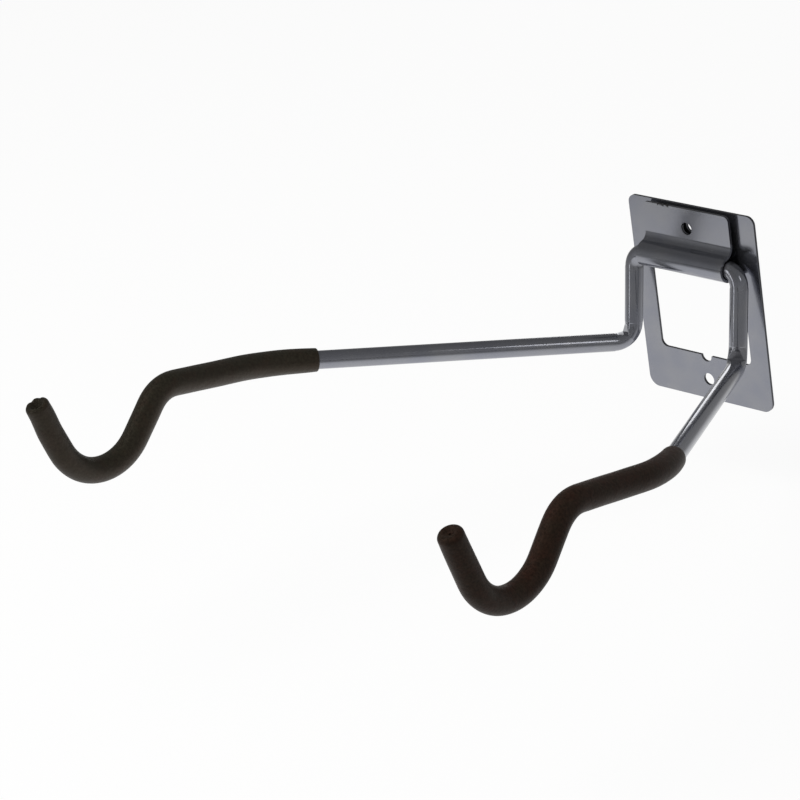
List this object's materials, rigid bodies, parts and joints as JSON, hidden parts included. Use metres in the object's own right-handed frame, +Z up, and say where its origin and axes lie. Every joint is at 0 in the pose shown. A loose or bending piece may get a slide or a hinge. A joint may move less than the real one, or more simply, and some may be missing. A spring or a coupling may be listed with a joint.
{
  "type": "bicycle wall rack",
  "caption": "Folding wall rack: a stamped plate whose rolled tongue hinges a bent tube frame with foam-sleeved hooks, which swings up against the wall when not in use.",
  "frame": {"origin": "centre of the wall plate's back, midway between its two screw holes", "axes": "the wall is the plane y = 0, the room is towards -Y, +Z is up, and the cross bar runs along X"},
  "size_m": [0.3818, 0.4423, 0.145],
  "materials": {
    "steel": "gloss",
    "foam": "matte",
    "plug": "matte"
  },
  "bodies": {
    "plate": {"wall_plate": "steel"},
    "arms": {"arm_frame": "steel", "sleeve_left": "foam", "sleeve_right": "foam", "end_plug_left": "plug", "end_plug_right": "plug"}
  },
  "joints": [
    {"name": "arm_fold", "type": "hinge", "parent": "plate", "child": "arms", "pos_m": [0, -0.01135, 0.0355], "axis": [-1, 0, 0], "range_deg": [-13.5, 85.5]}
  ]
}
